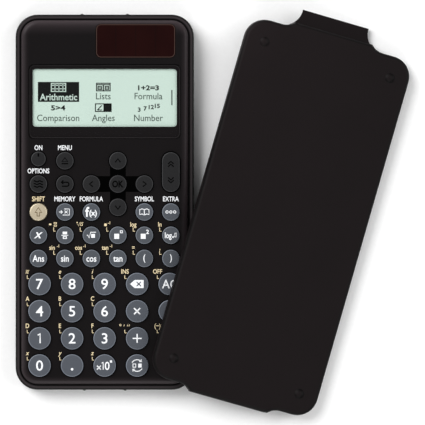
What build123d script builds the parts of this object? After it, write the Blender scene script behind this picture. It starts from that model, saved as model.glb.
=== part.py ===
"""Pocket scientific calculator with its hard cover leaning against it.

Millimetres. +Z is up, +Y points to the display end, and the origin is the middle of the flat back.
"""
from build123d import *
import os
from math import asin, cos, degrees, radians, sin, sqrt

# ---- Case -----------------------------------------------------------------------------------------
case_width = 77.0
case_length = 162.0
case_corner = 9.6
back_round = 2.2
rim_height = 7.2
rim_round = 0.6
rim_wall = 1.8
seat_width = 1.1
seat_height = 5.2
floor = 1.5
parting_gap = 0.6
face_height = 9.5
face_round = 2.2
panel = 1.5
skirt_wall = 1.2
detent_radius = 0.9
detent_reach = 0.35
detent_heights = (3.0, 6.2)
top_detent_x = 9.8
bottom_detent_x = 8.8
label_size = (46.0, 22.0)
label_place = (0.0, 32.0)
label_depth = 0.3

# ---- Keys -----------------------------------------------------------------------------------------
small_key = 7.5
large_key = 9.65
on_key = 6.3
key_top = 10.7
key_crown = 0.12
key_edge_round = 0.45
key_clearance = 0.25
key_flange_reach = 0.6
key_flange = 0.7
flange_gap = 0.1
hole_chamfer = 0.15
small_pitch = 11.43
large_pitch = 14.03
bottom_margin = 10.54
large_row_gap = 0.87
small_row_gap = 1.3
row_change_gap = 1.255
menu_row_gap = 1.33
pad_row_gap = 3.37
on_key_lift = 0.8
pad_bar_width = 6.8
pad_depth = 0.25

# ---- Page rocker ----------------------------------------------------------------------------------
rocker_size = (7.6, 17.1)
rocker_lift = 5.15
rocker_clearance = 0.35
rocker_flange = 0.6
rocker_axis = 6.8
trunnion_radius = 0.8
trunnion_clearance = 0.08
trunnion_reach = 1.5
ear_gap = 0.3
ear_thickness = 1.4
ear_half_width = 1.5

# ---- Display and solar cell -----------------------------------------------------------------------
window_size = (65.8, 32.3)
window_margin = 37.65
window_corner = 2.2
window_thickness = 1.0
window_play = 0.12
glass_size = (66.4, 28.4)
view_size = (62.2, 24.9)
view_lift = 1.7
view_corner = 1.3
lcd_thickness = 2.2
lcd_gap = 0.1
strip_width = 1.6
solar_size = (34.5, 14.8)
solar_x = 13.35
solar_margin = 11.4
solar_corner = 2.3
solar_thickness = 0.9
solar_ledge = 1.2
solar_sink = 0.15

# ---- Circuit board and membrane -------------------------------------------------------------------
board_bottom = 3.6
board_thickness = 1.0
board_inset = 1.4
board_corner = 5.0
board_margin = 20.8
membrane_sheet = 0.6
membrane_inset = 1.8
membrane_margin = 6.74
dome_radii = (2.6, 1.7)
dome_gap = 0.2
rocker_dome_gap = 0.2
rocker_dome_reach = 6.0
blob_radius = 6.0
blob_height = 1.2
chip_size = (4.0, 2.0)
chip_places = ((-14.0, 34.0), (16.0, 30.0), (16.0, 24.0))
passive_size = (2.0, 1.2)
passive_pitch = (6.0, 5.0)
passive_count = (3, 2)
low_passive_places = ((-24.0, -40.0), (24.0, -40.0))
chip_height = 0.6

# ---- Screws ---------------------------------------------------------------------------------------
screw_head = (1.8, 1.2)
screw_shank = 0.9
screw_recess = 0.3
screw_bite = 2.8
thread_play = 0.03
head_play = 0.3
post_radius = 3.2
boss_radius = 2.2
end_screw_gap = 0.2
end_screw_margin = 18.8
socket_width = 0.5
socket_depth = 0.6

# ---- Battery and its door -------------------------------------------------------------------------
battery_radius = 5.8
battery_height = 5.4
battery_x = -18.0
battery_margin = 13.0
battery_play = 0.3
well_wall = 1.0
door_size = (25.0, 15.0)
door_shift = 2.5
door_corner = 2.0
door_thickness = 1.2
door_sink = 0.05
door_play = 0.2
door_rim = 1.2
door_shelf = 0.9
door_screw_shift = 11.5
door_grip_setbacks = (2.0, 3.2, 4.4)
door_grip = (0.5, 7.5)
door_grip_depth = 0.2
door_screw_head = (1.6, 0.6)
door_boss_radius = 2.4
door_boss_top = 5.0
contact_thickness = 0.2
contact_width = 4.0
contact_gap = 0.1
strip_slot = (3.0, 8.0)
side_strip_height = 2.0
side_strip_bends = (1.0, 3.2)
leg_setback = 0.5

# ---- Cover ----------------------------------------------------------------------------------------
cover_play = 0.25
cover_lip = 0.8
cover_plate = 1.2
cover_height = 5.4
cover_end_inset = 0.6
cover_corner = 9.0
cover_round = 1.8
tab_round = 2.4
tab_half = 14.9
scoop_radius = 8.0
lug_play = 0.1
lug_wall = 1.25
lug_drop = 3.0
flare_reach = 6.3
flare_thickness = 1.1
flare_rise = 0.5
foot_reach = 0.3
bump_radius = 2.1
bump_height = 0.85
bump_place = (28.5, 70.9)
cover_turn = 16.0
cover_foot_place = (-20.67, 7.35)
face_rest_side = 11.15
face_rest_gap = 0.6
table_gap = 0.05

# ---- Levels and places worked out from the sizes above --------------------------------------------
face_inset = rim_wall + parting_gap
face_width = case_width - 2 * face_inset
cavity_inset = rim_wall + seat_width
skirt_inset = face_inset + skirt_wall
panel_bottom = face_height - panel
detent_y = case_length / 2 + detent_reach - detent_radius
board_top = board_bottom + board_thickness
membrane_top = board_top + membrane_sheet
flange_top = panel_bottom - flange_gap
flange_bottom = flange_top - key_flange
window_bottom = face_height - window_thickness
solar_bottom = face_height - solar_thickness - solar_sink
lcd_top = panel_bottom - lcd_gap
top_end = case_length / 2
large_row_pitch = large_key + 2 * key_flange_reach + large_row_gap
small_flange = small_key + 2 * key_flange_reach
small_row_pitch = small_flange + small_row_gap
menu_row_step = small_flange + menu_row_gap
first_large_row = bottom_margin - top_end + 3 * large_row_pitch
second_small_row = first_large_row + (large_key + small_key) / 2 + 2 * key_flange_reach + row_change_gap
first_small_row = second_small_row + small_row_pitch
menu_row = first_small_row + menu_row_step
pad_row = menu_row + small_flange + pad_row_gap
pad_pitch = menu_row_step
top_row = pad_row + pad_pitch
rocker_y = pad_row + rocker_lift
window_y = top_end - window_margin
view_y = window_y + view_lift
solar_place = (solar_x, top_end - solar_margin)
blob_y = view_y - glass_size[1]
board_end = top_end - board_margin
membrane_end = top_row + membrane_margin
battery_y = top_end - battery_margin
battery_place = (battery_x, battery_y)
door_x = battery_x + door_shift
door_y = battery_y
door_place = (door_x, door_y)
door_end = door_x - door_size[0] / 2
door_screw = (battery_x + door_screw_shift, door_y)
door_top = door_sink + door_thickness
well_radius = battery_radius + battery_play
battery_bottom = door_top + 2 * contact_gap
battery_top = battery_bottom + battery_height
well_top = battery_top + contact_gap
cover_width = face_width + 2 * (cover_play + cover_lip)
cover_length = case_length - 2 * cover_end_inset


def small_column(number):
    """Middle of one of the six small-key columns, counted from the left."""
    return (number - 2.5) * small_pitch


def large_column(number):
    """Middle of one of the five large-key columns, counted from the left."""
    return (number - 2) * large_pitch


pad_x = small_column(3)
rocker_x = small_column(5)
small_rows = (
    (first_small_row, ("key_x", "key_fraction", "key_root", "key_power", "key_square", "key_log")),
    (
        second_small_row,
        ("key_answer", "key_sine", "key_cosine", "key_tangent", "key_open_bracket", "key_close_bracket"),
    ),
)
large_rows = (
    ("key_7", "key_8", "key_9", "key_delete", "key_all_clear"),
    ("key_4", "key_5", "key_6", "key_multiply", "key_divide"),
    ("key_1", "key_2", "key_3", "key_add", "key_subtract"),
    ("key_0", "key_point", "key_exponent", "key_format", "key_execute"),
)
keys = {
    "key_on": (small_column(0), top_row + on_key_lift, on_key / 2),
    "key_home": (small_column(1), top_row, small_key / 2),
    "key_up": (pad_x, top_row, small_key / 2),
    "key_down": (pad_x, pad_row - pad_pitch, small_key / 2),
}
for column, name in enumerate(("key_settings", "key_back", "key_left", "key_ok", "key_right")):
    keys[name] = (small_column(column), pad_row, small_key / 2)
for column, name in ((0, "shift"), (1, "variable"), (2, "function"), (4, "catalogue"), (5, "tools")):
    keys["key_" + name] = (small_column(column), menu_row, small_key / 2)
for row, names in small_rows:
    for column, name in enumerate(names):
        keys[name] = (small_column(column), row, small_key / 2)
for row, names in enumerate(large_rows):
    for column, name in enumerate(names):
        keys[name] = (large_column(column), first_large_row - row * large_row_pitch, large_key / 2)

middle_screw = (small_column(4.5), first_small_row - small_row_pitch / 2)
lower_screw = (large_column(3.5), first_large_row - 2.5 * large_row_pitch)
board_screws = [(side * x, y) for x, y in (middle_screw, lower_screw) for side in (-1, 1)]
end_screw_x = case_width / 2 - cavity_inset - boss_radius - end_screw_gap
end_screws = [(side * end_screw_x, top_end - end_screw_margin) for side in (-1, 1)]


def write_part(builder, name):
    """Label a finished piece and write its file."""
    builder.part.label = name
    export_step(builder.part, f"parts/{name}.step")


def level(height):
    """Horizontal plane at a height above the back."""
    return Plane.XY.offset(height)


def from_back(place, height=0.0):
    """Plane that looks out of the back, for holes drilled from below."""
    return Plane(origin=(*place, height), x_dir=(1, 0, 0), z_dir=(0, 0, -1))


def case_outline(inset):
    """Outline of the case, drawn in by an inset."""
    RectangleRounded(case_width - 2 * inset, case_length - 2 * inset, case_corner - inset)


def upright(place):
    """Plane through a place with Y up, for a profile that is turned about the vertical."""
    return Plane(origin=(*place, 0), x_dir=(1, 0, 0), z_dir=(0, -1, 0))


os.makedirs("parts", exist_ok=True)

# ---- Rear case ------------------------------------------------------------------------------------
with BuildPart() as rear_case:
    with BuildSketch():
        case_outline(0)
    extrude(amount=rim_height)
    fillet(rear_case.edges().group_by(Axis.Z)[0], back_round)
    fillet(rear_case.edges().group_by(Axis.Z)[-1], rim_round)
    with BuildSketch(level(detent_heights[0])):
        for end, detent_x in ((1, top_detent_x), (-1, bottom_detent_x)):
            with Locations((-detent_x, end * detent_y), (detent_x, end * detent_y)):
                Circle(detent_radius)
    extrude(amount=detent_heights[1] - detent_heights[0])
    with BuildSketch(level(seat_height)):
        case_outline(rim_wall)
    extrude(amount=rim_height - seat_height, mode=Mode.SUBTRACT)
    with BuildSketch(level(floor)):
        case_outline(cavity_inset)
    extrude(amount=seat_height - floor, mode=Mode.SUBTRACT)
    with BuildSketch(level(floor)):
        with Locations(*board_screws):
            Circle(post_radius)
    extrude(amount=board_bottom - floor)
    with BuildSketch(level(floor)):
        with Locations(*end_screws):
            Circle(post_radius)
    extrude(amount=board_top - floor)
    with BuildSketch(level(floor)):
        with Locations(door_place):
            RectangleRounded(
                door_size[0] + 2 * door_rim, door_size[1] + 2 * door_rim, door_corner + door_rim
            )
    extrude(amount=door_top + door_shelf - floor)
    with BuildSketch(level(floor)):
        with Locations(battery_place):
            Circle(well_radius + well_wall)
    extrude(amount=well_top - floor)
    with BuildSketch(level(floor)):
        with Locations(door_screw):
            Circle(door_boss_radius)
    extrude(amount=door_boss_top - floor)
    with BuildSketch():
        with Locations(door_place):
            RectangleRounded(
                door_size[0] + 2 * door_play, door_size[1] + 2 * door_play, door_corner + door_play
            )
    extrude(amount=door_top, mode=Mode.SUBTRACT)
    with BuildSketch():
        with Locations(battery_place):
            Circle(well_radius)
    extrude(amount=well_top, mode=Mode.SUBTRACT)
    with BuildSketch(level(board_top - contact_gap)):
        with Locations((battery_x + well_radius, battery_y)):
            Rectangle(*strip_slot)
    extrude(amount=well_top - board_top + contact_gap, mode=Mode.SUBTRACT)
    with Locations(*[from_back(place) for place in board_screws + end_screws]):
        CounterBoreHole(
            radius=screw_shank + thread_play,
            counter_bore_radius=screw_head[0] + head_play,
            counter_bore_depth=screw_head[1] + screw_recess,
            depth=board_top,
        )
    with Locations(from_back(door_screw, door_top)):
        Hole(radius=screw_shank + thread_play, depth=door_boss_top)
    with BuildSketch():
        with Locations(label_place):
            RectangleRounded(*label_size, door_corner)
    extrude(amount=label_depth, mode=Mode.SUBTRACT)
write_part(rear_case, "rear_case")

# ---- Front case -----------------------------------------------------------------------------------
with BuildPart() as front_case:
    with BuildSketch(level(seat_height)):
        case_outline(face_inset)
    extrude(amount=face_height - seat_height)
    fillet(front_case.edges().group_by(Axis.Z)[-1], face_round)
    with BuildSketch(level(seat_height)):
        case_outline(skirt_inset)
    extrude(amount=panel_bottom - seat_height, mode=Mode.SUBTRACT)
    with BuildSketch(level(board_top)):
        with Locations(*board_screws, *end_screws):
            Circle(boss_radius)
    extrude(amount=panel_bottom - board_top)
    with Locations(*[from_back(place, board_top) for place in board_screws + end_screws]):
        Hole(radius=screw_shank + thread_play, depth=screw_bite)
    with BuildSketch(level(face_height)):
        for key_x, key_y, radius in keys.values():
            with Locations((key_x, key_y)):
                Circle(radius + key_clearance)
        with Locations((rocker_x, rocker_y)):
            SlotOverall(
                rocker_size[1] + 2 * rocker_clearance, rocker_size[0] + 2 * rocker_clearance, rotation=90
            )
    extrude(amount=-panel, mode=Mode.SUBTRACT)
    chamfer(front_case.edges().group_by(Axis.Z)[-1].filter_by(GeomType.CIRCLE), hole_chamfer)
    with BuildSketch(level(face_height)):
        with Locations((0, window_y)):
            RectangleRounded(*window_size, window_corner)
    extrude(amount=-window_thickness, mode=Mode.SUBTRACT)
    with BuildSketch(level(window_bottom)):
        with Locations((0, view_y)):
            RectangleRounded(*view_size, view_corner)
    extrude(amount=panel_bottom - window_bottom, mode=Mode.SUBTRACT)
    with BuildSketch(level(face_height)):
        with Locations(solar_place):
            RectangleRounded(*solar_size, solar_corner)
    extrude(amount=solar_bottom - face_height, mode=Mode.SUBTRACT)
    with BuildSketch(level(solar_bottom)):
        with Locations(solar_place):
            RectangleRounded(
                solar_size[0] - 2 * solar_ledge, solar_size[1] - 2 * solar_ledge, solar_ledge
            )
    extrude(amount=panel_bottom - solar_bottom, mode=Mode.SUBTRACT)
    with BuildSketch(level(face_height)):
        with Locations((pad_x, pad_row)):
            Rectangle(pad_bar_width, 2 * pad_pitch)
            Rectangle(2 * small_pitch, pad_bar_width)
    extrude(amount=-pad_depth, mode=Mode.SUBTRACT)
    ear_middle = rocker_size[0] / 2 + key_flange_reach + ear_gap + ear_thickness / 2
    with BuildSketch(level(rocker_axis - ear_half_width)):
        with Locations(*[(rocker_x + side * ear_middle, rocker_y) for side in (-1, 1)]):
            Rectangle(ear_thickness, 2 * ear_half_width)
    extrude(amount=panel_bottom - rocker_axis + ear_half_width)
    with BuildSketch(Plane.YZ.offset(rocker_x)):
        with Locations((rocker_y, rocker_axis)):
            Circle(trunnion_radius + trunnion_clearance)
    extrude(amount=ear_middle + ear_thickness / 2, both=True, mode=Mode.SUBTRACT)
write_part(front_case, "front_case")

# ---- Display, solar cell --------------------------------------------------------------------------
with BuildPart() as display_window:
    with BuildSketch(level(window_bottom)):
        with Locations((0, window_y)):
            RectangleRounded(
                window_size[0] - 2 * window_play,
                window_size[1] - 2 * window_play,
                window_corner - window_play,
            )
    extrude(amount=window_thickness - window_play / 2)
    chamfer(display_window.edges().group_by(Axis.Z)[-1], window_play)
write_part(display_window, "display_window")

with BuildPart() as lcd_panel:
    with BuildSketch(level(lcd_top - lcd_thickness)):
        with Locations((0, view_y)):
            Rectangle(*glass_size)
    extrude(amount=lcd_thickness)
    with BuildSketch(level(board_top)):
        for side in (-1, 1):
            with Locations((0, view_y + side * (glass_size[1] - strip_width) / 2)):
                Rectangle(glass_size[0] - 2 * strip_width, strip_width)
    extrude(amount=lcd_top - lcd_thickness - board_top)
write_part(lcd_panel, "lcd_panel")

with BuildPart() as solar_cell:
    with BuildSketch(level(solar_bottom)):
        with Locations(solar_place):
            RectangleRounded(
                solar_size[0] - 2 * window_play,
                solar_size[1] - 2 * window_play,
                solar_corner - window_play,
            )
    extrude(amount=solar_thickness)
    chamfer(solar_cell.edges().group_by(Axis.Z)[-1], window_play)
write_part(solar_cell, "solar_cell")

# ---- Circuit board --------------------------------------------------------------------------------
board_half = case_length / 2 - cavity_inset - board_inset
with BuildPart() as circuit_board:
    with BuildSketch(level(board_bottom)):
        with Locations((0, (board_end - board_half) / 2)):
            RectangleRounded(
                case_width - 2 * (cavity_inset + board_inset), board_end + board_half, board_corner
            )
        with Locations(*board_screws):
            Circle(screw_shank + head_play, mode=Mode.SUBTRACT)
        with Locations(*end_screws):
            Circle(post_radius + head_play, mode=Mode.SUBTRACT)
    extrude(amount=board_thickness)
    with BuildSketch(level(board_bottom)):
        with Locations((0, blob_y)):
            Circle(blob_radius)
    extrude(amount=-blob_height, taper=30)
    with BuildSketch(level(board_bottom)):
        with Locations(*chip_places):
            Rectangle(*chip_size)
        with GridLocations(*passive_pitch, *passive_count):
            Rectangle(*passive_size)
        with Locations(*low_passive_places):
            Rectangle(*passive_size)
    extrude(amount=-chip_height)
write_part(circuit_board, "circuit_board")

# ---- Keypad membrane ------------------------------------------------------------------------------
membrane_half = case_length / 2 - cavity_inset - membrane_inset
rocker_flange_bottom = rocker_axis - rocker_flange / 2
with BuildPart() as keypad_membrane:
    with BuildSketch(level(board_top)):
        with Locations((0, (membrane_end - membrane_half) / 2)):
            RectangleRounded(
                case_width - 2 * (cavity_inset + membrane_inset),
                membrane_end + membrane_half,
                board_corner,
            )
        with Locations(*board_screws):
            Circle(boss_radius + head_play, mode=Mode.SUBTRACT)
    extrude(amount=membrane_sheet)
    with Locations(*[(key_x, key_y, membrane_top) for key_x, key_y, radius in keys.values()]):
        Cone(
            *dome_radii,
            flange_bottom - dome_gap - membrane_top,
            align=(Align.CENTER, Align.CENTER, Align.MIN),
        )
    with Locations(*[(rocker_x, rocker_y + side * rocker_dome_reach, membrane_top) for side in (-1, 1)]):
        Cone(
            *dome_radii,
            rocker_flange_bottom - rocker_dome_gap - membrane_top,
            align=(Align.CENTER, Align.CENTER, Align.MIN),
        )
write_part(keypad_membrane, "keypad_membrane")

# ---- Keys -----------------------------------------------------------------------------------------
crown_edge = key_top - key_crown


def make_key(name, place, radius):
    """Round key: a flange under the panel and a crowned top with a rounded rim."""
    flat_radius = radius - key_edge_round
    crown_radius = (flat_radius**2 + key_crown**2) / (2 * key_crown)
    crown_angle = degrees(asin(flat_radius / crown_radius))
    with BuildPart() as key:
        with BuildSketch(upright(place)):
            with BuildLine():
                Polyline(
                    (0, key_top),
                    (0, flange_bottom),
                    (radius + key_flange_reach, flange_bottom),
                    (radius + key_flange_reach, flange_top),
                    (radius, flange_top),
                    (radius, crown_edge - key_edge_round),
                )
                CenterArc((flat_radius, crown_edge - key_edge_round), key_edge_round, 0, 90)
                CenterArc((0, key_top - crown_radius), crown_radius, 90 - crown_angle, crown_angle)
            make_face()
        revolve(axis=Axis((*place, 0), (0, 0, 1)))
    write_part(key, name)


for name, (key_x, key_y, radius) in keys.items():
    make_key(name, (key_x, key_y), radius)

rocker_half_span = rocker_size[0] / 2 + key_flange_reach + trunnion_reach
with BuildPart() as page_rocker:
    with BuildSketch(level(rocker_flange_bottom)):
        with Locations((rocker_x, rocker_y)):
            SlotOverall(
                rocker_size[1] + 2 * key_flange_reach, rocker_size[0] + 2 * key_flange_reach, rotation=90
            )
    extrude(amount=rocker_flange)
    with BuildSketch(level(rocker_flange_bottom)):
        with Locations((rocker_x, rocker_y)):
            SlotOverall(rocker_size[1], rocker_size[0], rotation=90)
    extrude(amount=key_top - rocker_flange_bottom)
    fillet(page_rocker.edges().group_by(Axis.Z)[-1], key_edge_round)
    with BuildSketch(Plane.YZ.offset(rocker_x)):
        with Locations((rocker_y, rocker_axis)):
            Circle(trunnion_radius)
    extrude(amount=rocker_half_span, both=True)
write_part(page_rocker, "page_rocker")

# ---- Screws ---------------------------------------------------------------------------------------


def make_screw(head, length):
    """Pan-head screw with a cross socket, its head at the bottom and its tip up."""
    head_radius, head_height = head
    with BuildPart() as screw:
        with BuildSketch():
            Circle(head_radius)
        extrude(amount=head_height)
        with BuildSketch():
            Circle(screw_shank)
        extrude(amount=length)
        with BuildSketch():
            Rectangle(head_radius, socket_width)
            Rectangle(socket_width, head_radius)
        extrude(amount=min(socket_depth, head_height / 2), mode=Mode.SUBTRACT)
    return screw.part


screw_tip = board_top + screw_bite - head_play
with BuildPart() as case_screws:
    with Locations(*[(screw_x, screw_y, screw_recess) for screw_x, screw_y in board_screws + end_screws]):
        add(make_screw(screw_head, screw_tip - screw_recess))
write_part(case_screws, "case_screws")

# ---- Battery, contacts and door -------------------------------------------------------------------
with BuildPart() as battery:
    with BuildSketch(level(battery_bottom)):
        with Locations(battery_place):
            Circle(battery_radius)
    extrude(amount=battery_height)
    fillet(battery.edges().group_by(Axis.Z)[0], battery_play)
    chamfer(battery.edges().group_by(Axis.Z)[-1], battery_play)
write_part(battery, "battery")

leg_y = board_end - leg_setback
side_strip_x = battery_x + battery_radius + contact_gap + contact_thickness / 2
outer_strip_x = battery_x + well_radius + well_wall + 2 * contact_thickness
with BuildPart() as battery_contacts:
    with BuildSketch(level(well_top)):
        with Locations((battery_x, (leg_y + battery_y + contact_width) / 2)):
            Rectangle(contact_width, battery_y + contact_width - leg_y)
    extrude(amount=contact_thickness)
    with BuildSketch(level(board_top)):
        with Locations((battery_x, leg_y + contact_thickness / 2)):
            Rectangle(contact_width, contact_thickness)
    extrude(amount=well_top - board_top)
    with BuildSketch(level(board_top)):
        with BuildLine():
            Polyline(
                (side_strip_x, battery_y + contact_width / 2),
                (side_strip_x, battery_y - side_strip_bends[0]),
                (outer_strip_x, battery_y - side_strip_bends[1]),
                (outer_strip_x, leg_y),
            )
        trace(line_width=contact_thickness)
    extrude(amount=side_strip_height)
write_part(battery_contacts, "battery_contacts")

door_head_seat = door_sink + contact_gap + door_screw_head[1]
with BuildPart() as battery_door:
    with BuildSketch(level(door_sink)):
        with Locations(door_place):
            RectangleRounded(*door_size, door_corner)
    extrude(amount=door_thickness)
    with Locations(from_back(door_screw, door_sink)):
        CounterBoreHole(
            radius=screw_shank + 2 * thread_play,
            counter_bore_radius=door_screw_head[0] + head_play,
            counter_bore_depth=door_head_seat - door_sink,
            depth=door_thickness,
        )
    with BuildSketch(level(door_sink)):
        with Locations(*[(door_end + setback, door_y) for setback in door_grip_setbacks]):
            Rectangle(*door_grip)
    extrude(amount=door_grip_depth, mode=Mode.SUBTRACT)
write_part(battery_door, "battery_door")

door_head_bottom = door_sink + contact_gap
with BuildPart() as battery_door_screw:
    with Locations((*door_screw, door_head_bottom)):
        add(make_screw(door_screw_head, door_boss_top - head_play - door_head_bottom))
write_part(battery_door_screw, "battery_door_screw")

# ---- Cover ----------------------------------------------------------------------------------------
# The cover's own frame: X across it, Y along it to the flared lug, Z out of its plate, its lips at 0.
shoulder = cover_length / 2
lug_inner = case_length / 2 + detent_reach + lug_play
lug_outer = lug_inner + lug_wall
flare_tip = lug_outer + flare_reach
foot_tip = lug_outer + foot_reach
scoop_x = tab_half + scoop_radius
scoop_y = shoulder + scoop_radius


def tab_width_at(reach):
    """Half width of a tab where it reaches so far from the middle, on the scoop beside it."""
    return scoop_x - sqrt(scoop_radius**2 - (scoop_y - reach) ** 2)


def scoop_reach_at(width):
    """How far from the middle the scoop lies at a half width."""
    return scoop_y - sqrt(scoop_radius**2 - (scoop_x - width) ** 2)


def cover_outline(top_reach, bottom_reach):
    """Plan of the cover: rounded body with a tab at each end and a scoop on each side of the tab."""
    half = cover_width / 2
    bend = cover_corner * (1 - sqrt(0.5))
    with BuildSketch() as outline:
        with BuildLine():
            for end, reach in ((1, top_reach), (-1, bottom_reach)):
                tab_x = tab_width_at(reach)
                middle_x = (tab_x + scoop_x) / 2
                ThreePointArc(
                    (tab_x, end * reach),
                    (middle_x, end * scoop_reach_at(middle_x)),
                    (scoop_x, end * shoulder),
                )
                Line((scoop_x, end * shoulder), (half - cover_corner, end * shoulder))
                ThreePointArc(
                    (half - cover_corner, end * shoulder),
                    (half - bend, end * (shoulder - bend)),
                    (half, end * (shoulder - cover_corner)),
                )
            Line((half, shoulder - cover_corner), (half, cover_corner - shoulder))
            mirror(about=Plane.YZ)
            for end_y in (top_reach, -bottom_reach):
                Line((-tab_width_at(abs(end_y)), end_y), (tab_width_at(abs(end_y)), end_y))
        make_face()
    return outline.sketch


def dot(first, second):
    """Scalar product of two vectors."""
    return sum(a * b for a, b in zip(first, second))


def resting_plane(supports, turn, place):
    """The cover's plane when three of its own points stand at given heights.

    Each support is a point of the cover and its height. The cover's length points turn degrees
    clockwise from +Y, and its middle is above place.
    """
    (first, first_height), (second, second_height), (third, third_height) = supports
    one = [a - b for a, b in zip(first, second)]
    two = [a - b for a, b in zip(third, second)]
    rise_one = first_height - second_height
    rise_two = third_height - second_height
    spread = dot(one, one) * dot(two, two) - dot(one, two) ** 2
    share_one = (rise_one * dot(two, two) - rise_two * dot(one, two)) / spread
    share_two = (rise_two * dot(one, one) - rise_one * dot(one, two)) / spread
    in_plane = [share_one * a + share_two * b for a, b in zip(one, two)]
    across = [
        one[1] * two[2] - one[2] * two[1],
        one[2] * two[0] - one[0] * two[2],
        one[0] * two[1] - one[1] * two[0],
    ]
    upward = sqrt((1 - dot(in_plane, in_plane)) / spread)
    if across[2] < 0:
        upward = -upward
    rise_x, rise_y, rise_z = [a + upward * b for a, b in zip(in_plane, across)]
    level_y = sqrt(1 - rise_y**2)
    along_x = -rise_x * rise_y / level_y
    across_x = sqrt(1 - rise_x**2 - along_x**2)
    angle = radians(turn)
    x_dir = (
        across_x * cos(angle) + along_x * sin(angle),
        -across_x * sin(angle) + along_x * cos(angle),
        rise_x,
    )
    y_dir = (level_y * sin(angle), level_y * cos(angle), rise_y)
    height = second_height - dot(second, (rise_x, rise_y, rise_z))
    return Plane(origin=(*place, height), x_dir=x_dir, z_dir=Vector(*x_dir).cross(Vector(*y_dir)))


# Its lower left corner lies a set way in from the lower right corner of the case.
turn_cos = cos(radians(cover_turn))
turn_sin = sin(radians(cover_turn))
cover_place = (
    case_width / 2 + cover_foot_place[0] + (cover_width * turn_cos + cover_length * turn_sin) / 2,
    -case_length / 2 + cover_foot_place[1] + (cover_length * turn_cos - cover_width * turn_sin) / 2,
)
face_rest = ((face_rest_side - cover_width / 2, -shoulder, 0), face_height + face_rest_gap)
lug_foot = (tab_width_at(lug_inner), lug_inner, -lug_drop)
side_foot = (cover_width / 2, shoulder - cover_corner, 0)


def leaning_plane(foot):
    """The cover's plane when its end lip lies on the case and this point, at both ends, on the table."""
    foot_x, foot_y, foot_z = foot
    feet = [((foot_x, end * foot_y, foot_z), table_gap) for end in (-1, 1)]
    return resting_plane((face_rest, *feet), cover_turn, cover_place)


# It stands on the roots of its lugs, or on its side lip where that would reach lower.
cover_plane = leaning_plane(lug_foot)
if cover_plane.from_local_coords(Vector(*side_foot)).Z < table_gap:
    cover_plane = leaning_plane(side_foot)

with BuildPart() as cover_lugs:
    with BuildSketch(Plane.YZ):
        with BuildLine():
            Polyline(
                (lug_inner, cover_height - cover_plate),
                (lug_inner, -lug_drop),
                (flare_tip, -lug_drop),
                (flare_tip, flare_thickness - lug_drop),
                (lug_outer, flare_thickness + flare_rise - lug_drop),
                (lug_outer, cover_height - cover_plate),
                close=True,
            )
        make_face()
        with BuildLine():
            Polyline(
                (-lug_inner, cover_height - cover_plate),
                (-lug_inner, -lug_drop),
                (-foot_tip, -lug_drop),
                (-foot_tip, flare_thickness - lug_drop),
                (-lug_outer, 0),
                (-lug_outer, cover_height - cover_plate),
                close=True,
            )
        make_face()
    extrude(amount=scoop_x, both=True)
    with BuildSketch(level(-2 * lug_drop)):
        add(cover_outline(flare_tip, foot_tip))
    extrude(amount=2 * (lug_drop + cover_height), mode=Mode.INTERSECT)

with BuildPart() as cover_tray:
    with BuildSketch() as tray_plan:
        add(cover_outline(lug_outer, lug_outer))
        tab_corners = tray_plan.vertices().group_by(Axis.Y)
        fillet(tab_corners[0] + tab_corners[-1], tab_round)
    extrude(amount=cover_height)
    fillet(cover_tray.edges().group_by(Axis.Z)[-1], cover_round)
    with BuildSketch():
        add(tray_plan.sketch)
        offset(amount=-cover_lip, mode=Mode.REPLACE)
    extrude(amount=cover_height - cover_plate, mode=Mode.SUBTRACT)
    add(cover_lugs.part)
    bump_ball = (bump_radius**2 + bump_height**2) / (2 * bump_height)
    bump_angle = degrees(asin(bump_radius / bump_ball))
    bump_top = cover_height + bump_height
    bump_root = cover_height - cover_plate / 2
    for side_x in (-1, 1):
        for side_y in (-1, 1):
            bump_axis = (side_x * bump_place[0], side_y * bump_place[1])
            with BuildSketch(upright(bump_axis)):
                with BuildLine():
                    Polyline(
                        (0, bump_top),
                        (0, bump_root),
                        (bump_radius, bump_root),
                        (bump_radius, cover_height),
                    )
                    CenterArc((0, bump_top - bump_ball), bump_ball, 90 - bump_angle, bump_angle)
                make_face()
            revolve(axis=Axis((*bump_axis, 0), (0, 0, 1)))

with BuildPart() as cover:
    with Locations(cover_plane):
        add(cover_tray.part)
write_part(cover, "cover")
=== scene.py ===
from math import cos, pi, radians, sin, sqrt

import bmesh
import bpy
from mathutils import Matrix, Vector


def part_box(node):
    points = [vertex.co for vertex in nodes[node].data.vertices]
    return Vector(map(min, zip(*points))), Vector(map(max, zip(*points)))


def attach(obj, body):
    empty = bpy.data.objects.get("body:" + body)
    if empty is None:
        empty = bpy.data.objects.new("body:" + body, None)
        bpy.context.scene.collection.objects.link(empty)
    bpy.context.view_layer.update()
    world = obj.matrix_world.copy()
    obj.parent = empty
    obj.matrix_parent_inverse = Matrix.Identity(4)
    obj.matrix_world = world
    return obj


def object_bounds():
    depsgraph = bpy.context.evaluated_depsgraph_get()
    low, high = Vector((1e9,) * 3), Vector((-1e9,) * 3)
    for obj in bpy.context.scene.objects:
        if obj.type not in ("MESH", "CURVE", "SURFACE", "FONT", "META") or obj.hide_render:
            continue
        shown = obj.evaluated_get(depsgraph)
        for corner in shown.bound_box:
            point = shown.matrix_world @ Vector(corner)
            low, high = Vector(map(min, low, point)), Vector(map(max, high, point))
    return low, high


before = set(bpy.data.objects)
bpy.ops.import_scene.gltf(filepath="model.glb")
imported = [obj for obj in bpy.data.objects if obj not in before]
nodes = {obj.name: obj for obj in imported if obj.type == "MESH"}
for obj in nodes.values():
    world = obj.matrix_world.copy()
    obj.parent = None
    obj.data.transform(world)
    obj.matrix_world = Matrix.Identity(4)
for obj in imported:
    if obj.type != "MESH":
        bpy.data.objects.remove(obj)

# Lengths are millimetres in the frame of the calculator, +Y to the display and +Z up, unless a comment
# says otherwise.
MM = 0.001
cad_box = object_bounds()

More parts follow.
